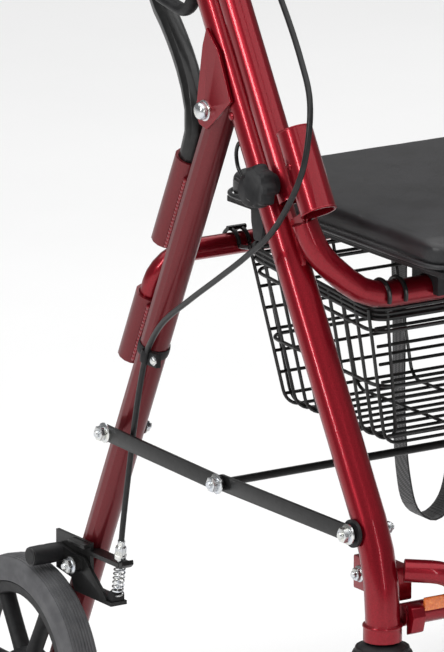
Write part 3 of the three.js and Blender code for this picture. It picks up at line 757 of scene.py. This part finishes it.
def inflate(obj, voxel, pressure, cap, flat_below=None):
    """Voxel remesh, a short cloth run under pressure, then a cap on how far a point may move.

    Points that start below flat_below stay almost level, where the pad rests on its board.
    """
    remesh = obj.modifiers.new("remesh", "REMESH")
    remesh.mode = "VOXEL"
    remesh.voxel_size = voxel
    bake(obj)
    start = [v.co.copy() for v in obj.data.vertices]
    cloth = obj.modifiers.new("cloth", "CLOTH")
    cloth.settings.use_pressure = True
    cloth.settings.uniform_pressure_force = pressure
    cloth.settings.effector_weights.gravity = 0
    cloth.settings.quality = 5
    scene = bpy.context.scene
    for number in range(1, CLOTH_FRAMES + 1):
        scene.frame_set(number)
    bake(obj)
    scene.frame_set(1)
    for vertex, was in zip(obj.data.vertices, start):
        move = vertex.co - was
        if move.length > cap:
            move *= cap / move.length
        if flat_below is not None and was.z < flat_below:
            move.z = max(move.z, 0) * 0.1
        vertex.co = was + move
    soften = obj.modifiers.new("soften", "SMOOTH")
    soften.factor = 0.5
    soften.iterations = 3
    fine = obj.modifiers.new("fine", "SUBSURF")
    fine.levels = fine.render_levels = 1
    bake(obj)
    obj.data.polygons.foreach_set("use_smooth", [True] * len(obj.data.polygons))


def bake(obj):
    """Applies every modifier on an object."""
    graph = bpy.context.evaluated_depsgraph_get()
    mesh = bpy.data.meshes.new_from_object(obj.evaluated_get(graph))
    obj.modifiers.clear()
    paints = list(obj.data.materials)
    obj.data = mesh
    mesh.materials.clear()
    for paint in paints:
        mesh.materials.append(paint)


def rounded_loop(low, high, corner, z, inset=0.0, steps=8):
    """A closed rounded rectangle at height z; z may be a function of X."""
    height = z if callable(z) else lambda x: z
    loop = []
    for cx, cy, start in (
        (high[0] - corner, high[1] - corner, 0), (low[0] + corner, high[1] - corner, 90),
        (low[0] + corner, low[1] + corner, 180), (high[0] - corner, low[1] + corner, 270),
    ):
        for k in range(steps + 1):
            angle = math.radians(start + 90 * k / steps)
            r = corner - inset
            x, y = cx + r * math.cos(angle), cy + r * math.sin(angle)
            loop.append(Vector((x, y, height(x))))
    return loop


def seat():
    """The cushion, the welt round its foot and the moulded edge of the board."""
    low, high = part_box("seat_pad")
    corner = 26 * MM
    blank = pad_blank(low, high, corner, (1.5 * MM, 1.5 * MM, 0.8 * MM))
    cushion = piece("seat_cushion", blank, "vinyl")
    inflate(cushion, 4 * MM, 2.0, 2.5 * MM, flat_below=low[2] + 4 * MM)
    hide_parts("seat_pad")
    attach(cushion, "seat")
    welt = rounded_loop(low, high, corner, low[2] + 3.2 * MM, inset=0.6 * MM, steps=12)
    piece("seat_welt", tube(welt, 2.0 * MM, 12, closed=True), "vinyl", "seat")
    base = rounded_loop(low, high, 24 * MM, low[2] - 1.2 * MM, inset=7 * MM, steps=12)
    piece("seat_trim", tube(base, 2.2 * MM, 10, closed=True), "plastic", "seat")


def backrest():
    """A long padded roll, rounded off towards its ends."""
    low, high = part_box("backrest_pad")
    centre = (Vector(low) + Vector(high)) / 2
    count, sides = 48, 24
    shape = bmesh.new()
    rows = []
    for i in range(count + 1):
        share = 2 * i / count - 1
        y = share * (high[1] - 5 * MM)
        swell = (1 - abs(share) ** 6) ** 0.5
        depth, tall = (9 + 2.5 * swell) * MM, (30 + 14 * swell) * MM
        ring = []
        for k in range(sides):
            angle = 2 * math.pi * k / sides
            c, t = math.cos(angle), math.sin(angle)
            ring.append(shape.verts.new((
                centre.x + math.copysign(abs(c) ** 0.7, c) * depth,
                y,
                centre.z + math.copysign(abs(t) ** 0.8, t) * tall,
            )))
        rows.append(ring)
    for a, b in zip(rows, rows[1:]):
        for k in range(sides):
            j = (k + 1) % sides
            shape.faces.new((a[k], a[j], b[j], b[k]))
    shape.faces.new(rows[0][::-1])
    shape.faces.new(rows[-1])
    bmesh.ops.recalc_face_normals(shape, faces=shape.faces)
    pad = piece("backrest_cushion", shape, "vinyl")
    inflate(pad, 5 * MM, 2.0, 3 * MM)
    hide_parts("backrest_pad")
    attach(pad, "rear_frame")


seat()
backrest()

# ---- wire basket


BASKET_TOP = (-36, 151, 204, 500, 482)
BASKET_FLOOR = (-6, 149, 186, 366, 366)


def basket_section(depth):
    """(rear x, front x, half width, rear z, front z) of the basket at a share of its depth."""
    return [(top + (floor - top) * depth) * MM for top, floor in zip(BASKET_TOP, BASKET_FLOOR)]


def basket_hoop(depth, corner=16 * MM):
    """A closed wire round the basket."""
    rear, front, half, z_rear, z_front = basket_section(depth)
    slope = (z_front - z_rear) / (front - rear)
    return rounded_loop((rear, -half), (front, half), corner, lambda x: z_rear + slope * (x - rear), steps=6)


def basket_wires():
    """Rim and hoops, then the wires that run down one wall, under the floor and up the other."""
    wire, rim_wire, hoop_wire, bend = 1.5 * MM, 1.9 * MM, 1.6 * MM, 15 * MM
    rims, hoops = (0.0, 0.035, 0.07), (0.16, 0.57)
    wires = [tube(basket_hoop(depth), rim_wire, 8, closed=True) for depth in rims]
    wires += [tube(basket_hoop(depth), hoop_wire, 8, closed=True) for depth in hoops]
    rear, front, half, z_rear, z_front = basket_section(0)
    low_rear, low_front, low_half, floor, _ = basket_section(1)
    count = 9
    for k in range(count + 1):
        share = 0.03 + 0.94 * k / count
        x_top, x_low = rear + (front - rear) * share, low_rear + (low_front - low_rear) * share
        z_top = z_rear + (z_front - z_rear) * share
        corners = [
            Vector((x_top, -half, z_top)), Vector((x_low, -low_half, floor)),
            Vector((x_low, low_half, floor)), Vector((x_top, half, z_top)),
        ]
        wires.append(tube(fillet(corners, bend, 15), wire, 8))
    for k in range(1, 8):
        back, ahead, wide, *heights = basket_section(k / 7.5)
        inner = wide - 2 * MM
        for x, z in zip((back + wire, ahead - wire), heights):
            wires.append(tube([Vector((x, y, z)) for y in (-inner, 0, inner)], wire, 8))
    for y in (-178, -112, -56, 0, 56, 112, 178):
        y_top = y / BASKET_FLOOR[2] * half * 0.97
        corners = [
            Vector((rear, y_top, z_rear)), Vector((low_rear, y * MM, floor + 2 * wire)),
            Vector((low_front, y * MM, floor + 2 * wire)), Vector((front, y_top, z_front)),
        ]
        wires.append(tube(fillet(corners, bend, 15), wire, 8))
    return merged(*wires)


def arc(centre, radius, y, angles):
    """Points round a bar that runs along Y. The angles are in degrees, from +X towards +Z."""
    turns = [math.radians(angle) for angle in angles]
    return [centre + Vector((radius * math.cos(a), y, radius * math.sin(a))) for a in turns]


def basket():
    """The wires, the hooks over the rear bar and the two loops over the front one."""
    wires = piece("basket_wires", basket_wires(), "wire", "basket_body")
    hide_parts("basket")
    hooks = []
    for middle_y in (-196, -136, 136, 196):
        for y in (middle_y - 5, middle_y + 5):
            over = arc(REAR_BAR, 12.4 * MM, y * MM, [200 - 10 * k for k in range(21)])
            foot = Vector((-35 * MM, y * MM, 496 * MM))
            hooks.append(tube(over + [over[-1].lerp(foot, 0.5), foot], 1.8 * MM, 8))
        ends = [REAR_BAR + Vector((0, (middle_y + out) * MM, 13.4 * MM)) for out in (-9, 9)]
        hooks.append(tube(ends, 2.2 * MM, 8))
    piece("basket_rear_hooks", merged(*hooks), "wire", "basket_body")
    loops = [
        tube(arc(FRONT_BAR, 12.8 * MM, s * out * MM, [-20 + 11 * k for k in range(19)]), 1.9 * MM, 8)
        for s in (-1, 1) for out in (191, 207)
    ]
    piece("basket_front_hooks", merged(*loops), "wire", "front_frame")


basket()

# ---- pull strap


def ribbon(sections, closed=False):
    """A flat band from its cross-sections, which have four corners each."""
    total = 4 * len(sections)
    faces = []
    for base in range(0, total if closed else total - 4, 4):
        for k in range(4):
            a, b = base + k, base + (k + 1) % 4
            faces.append((a, b, (b + 4) % total, (a + 4) % total))
    if not closed:
        faces += [(3, 2, 1, 0), tuple(range(total - 4, total))]
    return [corner for section in sections for corner in section], faces


STRAP_STEPS = 90


def strap():
    """A loop of flat webbing that hangs from the rear bar, and the turns that hold it there."""
    width, thick, twist_most = 24 * MM, 1.6 * MM, 0.18
    top = REAR_BAR.z / MM - 11.5
    right = [(-32, top), (-31, 420), (-30.5, 320), (-26, 268), (-19, 240), (-9, 229), (0, 226)]
    route = [Vector((REAR_BAR.x, y * MM, z * MM)) for y, z in right]
    route += [Vector((REAR_BAR.x, -p.y, p.z)) for p in route[-2::-1]]
    line = spline(route, STRAP_STEPS)
    sections = []
    for i, here in enumerate(line):
        way = (line[min(i + 1, STRAP_STEPS)] - line[max(i - 1, 0)]).normalized()
        face = way.cross(Vector((1, 0, 0))).normalized()
        turn = twist_most * math.sin(i / STRAP_STEPS * math.pi * 2)
        side = Matrix.Rotation(turn, 3, way) @ Vector((1, 0, 0))
        sections.append([
            here + side * (dx * width) + face * (dn * thick)
            for dx, dn in ((-0.5, -0.5), (0.5, -0.5), (0.5, 0.5), (-0.5, 0.5))
        ])
    band = piece("pull_strap", ribbon(sections), "webbing", "strap_body", smooth=30)
    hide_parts("strap")
    loops = []
    for s in (-1, 1):
        centre = REAR_BAR + Vector((0, s * 31.5 * MM, 0))
        turns = []
        for point in arc(REAR_BAR, 11.2 * MM, s * 31.5 * MM, [-90 + 15 * k for k in range(24)]):
            out = (point - centre).normalized()
            turns.append([
                point + Vector((0, dy * MM, 0)) + out * (dn * MM)
                for dy, dn in ((-12, -0.7), (12, -0.7), (12, 0.7), (-12, 0.7))
            ])
        loops.append(ribbon(turns, closed=True))
    piece("strap_loops", merged(*loops), "webbing", "strap_body", smooth=30)


strap()

# ---- fasteners


def flange_nut(centre, s, out, flange=8.6, across=11.5, height=7):
    """A flanged hex nut with a bolt end, facing outwards from Y = out. Sizes are in millimetres."""
    y = s * out * MM
    spot, facing = Vector((centre.x, 0, centre.z)), (0, s, 0)
    ring = turned(mm((0, 0), (flange, 0), (flange, 1.0), (flange - 1.4, 2.0), (0, 2.0)),
                  spot + Vector((0, y, 0)), facing, 32)
    body = slab(hex_outline(spot, across * MM), y + s * 1.6 * MM, y + s * height * MM, 0.0007)
    end = turned(mm((0, 0), (3, 0), (3, 2.4), (2.3, 3.2), (0, 3.2)),
                 spot + Vector((0, y + s * (height - 0.6) * MM, 0)), facing, 20)
    return merged(ring, body, end)


def cap_nut(centre, s, out, radius=7.4, height=8.5):
    """A domed nut or rivet head, facing outwards from Y = out. Sizes are in millimetres."""
    rim = radius * 1.18
    return turned(mm(
        (0, 0), (rim, 0), (rim, 1.1), (radius, 1.5), (radius, height * 0.55),
        (radius * 0.86, height * 0.8), (radius * 0.5, height * 0.96), (0, height),
    ), Vector((centre.x, s * out * MM, centre.z)), (0, s, 0), 32)


def fasteners(side, s):
    """Nuts and bolts of the frame's pivot and of the folding links."""
    pivots = [cap_nut(FRAME_PIVOT, s, 288), cap_nut(FRAME_PIVOT, -s, -252)]
    piece(f"pivot_nuts_{side}", merged(*pivots), "zinc", "front_frame")
    nuts = [flange_nut(LINK_REAR, s, 295), flange_nut(LINK_MID, s, 295)]
    piece(f"rear_link_nuts_{side}", merged(*nuts), "zinc", "rear_links")
    piece(f"front_link_nut_{side}", flange_nut(LINK_FRONT, s, 291), "zinc", "front_links")
    for end, spot, tube_radius in (("rear", LINK_REAR, 12.9), ("front", LINK_FRONT, 14.5)):
        bolt = flange_nut(spot, -s, tube_radius - LEG_Y / MM, flange=6.4, across=9, height=5)
        piece(f"{end}_link_bolt_{side}", bolt, "zinc", f"{end}_frame")
    washer = mm((4, 0), (10.5, 0), (11.5, 1), (11.5, 3.6), (4, 3.6))
    spacer = turned(washer, LINK_FRONT + Vector((0, s * 284.6 * MM, 0)), (0, s, 0), 32)
    piece(f"front_link_spacer_{side}", spacer, "plastic", "front_links")


def leg_plugs(side, s):
    """Moulded plugs in the open tops of the tubes."""
    y = s * LEG_Y
    rear_top = Vector((rear_x(REAR_TOP_Z), y, REAR_TOP_Z))
    plug = mm((0, 0.2), (12.4, 0.2), (12.4, 1.6), (11.4, 2.8), (0, 3.2))
    piece(f"rear_leg_plug_{side}", turned(plug, rear_top, REAR_AXIS, 32), "plastic", "rear_frame")
    front_top = leg_point(LEG_TOP_Z, 0, y)
    cap = mm((0, 0.2), (14, 0.2), (14, 1.8), (12.8, 3), (0, 3.6))
    piece(f"front_leg_plug_{side}", turned(cap, front_top, LEG_AXIS, 32), "plastic", "front_frame")


def tube_collar(centre, axis, radius, height, wall):
    """A close ring round a tube, such as a rolled end or a rim. Sizes are in millimetres."""
    half, round_off = height / 2 * MM, 0.4
    inner, outer = radius * MM, (radius + wall) * MM
    return turned([
        (inner, -half), (outer - round_off * MM, -half), (outer, -half * 0.4), (outer, half * 0.4),
        (outer - round_off * MM, half), (inner, half),
    ], centre, axis, 40)


SOCKET_AHEAD = 57.5 * MM


def welds(side, s):
    """Beads where tubes and plates meet, and the rolled collars."""
    y = s * LEG_Y
    front, rear = [], []
    for face in (-1, 1):
        # Height and distance ahead of the leg at each end, distance aside, radius.
        for start, end, aside, radius in (
            ((735, 14.5), (690, 14.5), 4.2, 1.5), ((640, 14.5), (600, 14.5), 4.2, 1.5),
            ((700, -3), (655, -3), 14.8, 1.6), ((556, 44), (536, 24), 2.6, 1.5),
        ):
            out = y + face * aside * MM
            ends = [leg_point(z * MM, ahead * MM, out) for z, ahead in (start, end)]
            front.append(bead(ends, radius * MM))
        for heights in ((500, 564), (392, 444)):
            ends = [Vector((rear_x(z * MM), y + face * 7 * MM, z * MM)) + REAR_BACK * (12.2 * MM)
                    for z in heights]
            rear.append(bead(ends, 2.5 * MM, 0.0034))
    piece(f"front_welds_{side}", merged(*front), "bead", "front_frame")
    piece(f"rear_welds_{side}", merged(*rear), "bead", "rear_frame")
    rings = [tube_collar(Vector((STEM.x, y, 256.5 * MM)), (0, 0, 1), 15.6, 2.2, 0.9)]
    for z in (609, 549):
        rings.append(tube_collar(leg_point(z * MM, SOCKET_AHEAD, y), LEG_AXIS, 13.2, 1.6, 2.1))
    piece(f"front_rims_{side}", merged(*rings), "red", "front_frame")


on_both_sides(fasteners, leg_plugs, welds)

# ---- height knob and seat latch


def knob(side, s):
    """A lobed knob with a dished face."""
    place = KNOB + Vector((0, s * 283 * MM, 0))
    rings, sides, lobes, lobe_depth = [], 64, 8, 1.3
    for r, h, lobe in (
        (6, 1, 0), (9, 1, 0), (9, 7.4, 0), (13, 8.2, 0.3), (16.6, 10, 1), (17.2, 14, 1),
        (16.4, 19.6, 1), (14, 21.6, 0.7), (10, 21.2, 0.2), (7, 19.8, 0), (0.01, 19.4, 0),
    ):
        ring = []
        for k in range(sides):
            a = 2 * math.pi * k / sides
            reach = (r + lobe * lobe_depth * math.cos(lobes * a)) * MM
            ring.append(place + Vector((reach * math.cos(a), s * h * MM, reach * math.sin(a))))
        rings.append(ring)
    faces = []
    for base in range(0, (len(rings) - 1) * sides, sides):
        for k in range(sides):
            a, b = base + k, base + (k + 1) % sides
            faces.append((a, b, b + sides, a + sides))
    faces += [tuple(range(sides))[::-1], tuple(range((len(rings) - 1) * sides, len(rings) * sides))]
    verts = [v for ring in rings for v in ring]
    head = piece(f"knob_{side}", (verts, faces), "plastic", f"knob_{side}")
    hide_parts(f"height_knob_{side}")


def latch(side, s):
    """The catch beside the leg: a rounded housing, a sprung wire loop and a strap-like lever."""
    centre, lever, wire = s * 268, s * 262, s * 269
    housing = turned(mirrored([(0, 9), (9, 9), (13, 6)], [(15, 0)]), at(72, centre, 576), sides=32)
    neck = brick((0.078, centre * MM - 0.006, 0.569), (0.096, centre * MM + 0.006, 0.584), 0.001)
    arm = slab(mm((63, 570), (80, 570), (83, 548), (79, 533), (68, 533), (64, 548)),
               (lever - s * 5) * MM, (lever + s * 3) * MM, 0.0015)
    piece(f"latch_{side}", merged(housing, neck, arm), "plastic", "front_frame")
    loop = spline([
        at(x, wire, z)
        for x, z in ((58, 584), (51, 592), (49, 604), (54, 612), (61, 609), (67, 598), (73, 586))
    ], 40)
    stub = tube([at(46, centre, 580), at(60, centre, 577)], 1.6 * MM, 10)
    piece(f"latch_wire_{side}", merged(tube(loop, 1.7 * MM, 10), stub), "wire", "front_frame")
    rivet = cap_nut(leg_point(640 * MM, -4 * MM, 0), s, 283.4, radius=2.8, height=2.4)
    dimple = cap_nut(leg_point(584 * MM, SOCKET_AHEAD, 0), s, 284.2, radius=2.6, height=1.4)
    piece(f"rivets_{side}", merged(rivet, dimple), "red", "front_frame")


on_both_sides(knob, latch)

# ---- brake hardware


def coil(low, high, radius, wire, turns):
    """A helical spring between two points."""
    axis = (high - low).normalized()
    side = axis.orthogonal().normalized()
    other = axis.cross(side)
    steps = turns * 18
    route = []
    for k in range(steps + 1):
        angle = 2 * math.pi * turns * k / steps
        out = side * (radius * math.cos(angle))
        route.append(low.lerp(high, k / steps) + out + other * (radius * math.sin(angle)))
    return tube(route, wire, 8)


def cable_clip(side, s):
    """The clip that holds the cable to the rear leg, and its screw."""
    band_z = 412 * MM
    around = tube_collar(at(-62, s * 287, 410), Vector((-0.33, 0, -1)), 2.6, 11, 1.5)
    leg = Vector((rear_x(band_z), s * LEG_Y, band_z))
    band = tube_collar(leg, REAR_AXIS, 12.75, 9, 1.0)
    tab = brick((-0.064, s * 0.2815, 0.402), (-0.046, s * 0.2865, 0.414), 0.0008)
    piece(f"cable_clip_{side}", merged(around, band, tab), "plastic", "rear_frame")
    screw = cap_nut(at(-50, 0, 408), s, 286, radius=3.6, height=3)
    piece(f"clip_screw_{side}", screw, "zinc", "rear_frame")


def adjuster(side, s):
    """The knurled barrel at the cable's end, and the return spring on its rod."""
    foot = at(-108.3, s * 282.9, 223)
    way = (at(-102, s * 285, 246) - at(-108, s * 283, 224)).normalized()
    barrel = turned(mm(
        (0, -4), (2.6, -4), (2.6, 0), (5.2, 0), (5.2, 3.4), (4.2, 4), (4.4, 11), (3.2, 12.4),
        (3.2, 17), (2.7, 17.6), (0, 17.6),
    ), foot, way, 28)
    knurls, count = [], 16
    for k in range(count):
        angle = 2 * math.pi * k / count
        out = Vector((math.cos(angle), math.sin(angle), 0))
        spot = foot + way * (7.4 * MM) + out * (4.4 * MM)
        knurls.append(tube([spot - way * 3 * MM, spot + way * 3 * MM], 0.45 * MM, 6))
    y = s * 281
    spring = coil(at(-117, y, 186), at(-112, y, 213), 4.6 * MM, 0.75 * MM, 7)
    rod = tube([at(-118, y, 183), at(-111, y, 222)], 1.0 * MM, 10)
    piece(f"adjuster_{side}", merged(barrel, *knurls), "zinc", "rear_frame")
    squeezed = piece(f"brake_spring_{side}", merged(spring, rod), "zinc")
    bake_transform(squeezed)


def brake_shoe(side, s):
    """What the arm carries: its bolt, the roller over the tyre and the spring's lower seat."""
    bolt = flange_nut(BRAKE, s, 297, flange=7.6, across=11, height=6)
    piece(f"brake_bolt_{side}", bolt, "zinc", f"brake_{side}")
    profile = mirrored([(0, 16), (6.4, 16), (8.3, 14), (8.6, 4)], [(8.3, 0)])
    roll = turned(profile, at(-195, s * 303.5, 208.5), sides=32)
    block = slab(mm((-158, 179.5), (-118, 179.5), (-113, 183), (-113, 190), (-118, 193), (-122, 186),
                    (-158, 186)), s * 0.2875, s * 0.2755, 0.0012)
    piece(f"brake_shoe_{side}", merged(roll, block), "plastic", f"brake_{side}")


def brake_hook(side, s):
    """The bracket's hooked seat for the adjuster and its folded upper edge."""
    hook = slab(mm((-112, 214.5), (-104, 214.5), (-100, 218), (-101, 222), (-105, 219.5), (-112, 219.5)),
                s * 0.2745, s * 0.2862, 0.0008)
    fold = slab(mm((-176, 225.5), (-150, 225.5), (-150, 221.5), (-176, 221.5)),
                s * 0.2862, s * 0.2930, 0.0008)
    piece(f"brake_hook_{side}", merged(hook, fold), "black_steel", "rear_frame")


on_both_sides(cable_clip, adjuster, brake_shoe, brake_hook)

# ---- handles


def hand_grip(side, s):
    """Ribbed moulded grip."""
    y = s * LEG_Y
    start, end = Vector((-24 * MM, y, 812.8 * MM)), Vector((-150.5 * MM, y, 816.0 * MM))
    way, length = (end - start).normalized(), (end - start).length
    profile = mm((0, 1), (11.3, 0), (16.6, 0), (18.2, 2.4), (18.2, 5), (16.2, 8))
    ribs, first, last = 18, 12 * MM, length - 16 * MM
    step = (last - first) / ribs
    for k in range(ribs):
        h = first + (last - first) * k / ribs
        swell = 0.9 * math.sin(math.pi * k / (ribs - 1)) * MM
        low, high = 15.6 * MM + swell, 16.3 * MM + swell
        profile += [(low, h), (high, h + step * 0.25), (high, h + step * 0.7), (low, h + step * 0.95)]
    end_cap = ((16.6, 12), (17.8, 7), (17, 2), (12, 0), (0, 0))
    profile += [(r * MM, length - back * MM) for r, back in end_cap]
    grip = piece(f"hand_grip_{side}", turned(profile, start, way, 40), "plastic", f"handle_{side}")
    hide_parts(f"grip_{side}")


def hand_lever(side, s):
    """The brake lever with its pin, and the ferrule where the cable leaves the housing."""
    y = s * LEG_Y / MM
    corners = [at(x, y, z) for x, z in ((-13, 768), (-13, 704), (-60, 712), (-150, 738))]
    route = even(fillet(corners, 18 * MM, 6), 80)
    loop = tube(route, lambda t: (5.6 - 1.0 * t) * MM, 18, wide=6.4 * MM, side_axis=(0, 1, 0))
    eye = slab(bar_outline(at(-13, 0, 764), LEVER, 13 * MM), (y + s * 3.5) * MM, (y + s * 7.4) * MM,
               0.0008)
    root = slab(mm((-19, 756), (-7, 756), (-6, 769), (-20, 769)), (y - s * 5) * MM, (y + s * 7) * MM,
                0.001)
    tip = turned(mm((0, -5), (4, -4), (6, 0), (5, 4), (0, 6)), at(-148, y, 737.4), (-0.96, 0, 0.28), 24)
    lever = piece(f"hand_lever_{side}", merged(loop, eye, root, tip), "plastic", f"lever_{side}")
    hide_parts(f"brake_lever_{side}")
    pin = cap_nut(LEVER, s, 277.4, radius=4, height=3)
    piece(f"lever_pin_{side}", pin, "zinc", f"lever_{side}")
    ferrule = turned(mm((0, -6), (4.4, -6), (4.4, 2), (3.4, 3), (3.2, 12), (2.7, 13), (0, 13)),
                     at(31, y, 792), (1, 0, 0), 24)
    piece(f"cable_ferrule_{side}", ferrule, "zinc", f"handle_{side}")


on_both_sides(hand_grip, hand_lever)

# ---- front corner: block, reflector, footrest


def front_corner(side, s):
    """The square block behind the leg that carries the footrest, its bolt, and the reflector."""
    block = slab(mm((202, 270), (256, 270), (256, 298), (202, 298)), s * 0.2560, s * 0.2350, 0.0016)
    piece(f"footrest_block_{side}", block, "red", "front_frame")
    bolt = flange_nut(Vector((0.212, 0, 0.284)), s, 256.2, flange=6.8, across=10, height=5)
    piece(f"block_bolt_{side}", bolt, "zinc", "front_frame")
    gusset = slab(mm((273.5, 273), (281, 271), (284, 263), (280.5, 250), (273.5, 247)),
                  s * 0.2525, s * 0.2400, 0.0012)
    piece(f"foot_gusset_{side}", gusset, "red", "front_frame")
    lens = slab(mm((276.2, 266), (279, 266), (279, 277), (276.2, 277)), s * 0.2380, s * 0.2050, 0.0008)
    piece(f"reflector_{side}", lens, "amber", "front_frame")


def footplate_ribs(side, s):
    """Low ribs across the tread of the foot flap."""
    low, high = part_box(f"footplate_{side}")
    x, margin, first, pitch = high[0] - 0.0031, 0.008, 0.030, 0.0125
    ribs = []
    for k in range(9):
        z = low[2] + first + k * pitch
        ends = [Vector((x, low[1] + margin, z)), Vector((x, high[1] - margin, z))]
        ribs.append(tube(ends, 1.1 * MM, 8))
    piece(f"footplate_ribs_{side}", merged(*ribs), "plastic", f"foot_flap_{side}")


on_both_sides(front_corner, footplate_ribs)


def hinge_saddles():
    """Rivet heads on the saddles that hold the seat board to the front bar."""
    head = mm((0, -1.2), (4.4, -1.2), (4.4, -0.2), (3, 1.4), (0, 1.8))
    heads = [
        turned(head, at(x, s * (150 + 14), 520), (0, s, 0), 20)
        for s in (-1, 1) for x in (155, 181)
    ]
    piece("saddle_rivets", merged(*heads), "black_steel", "seat")


hinge_saddles()
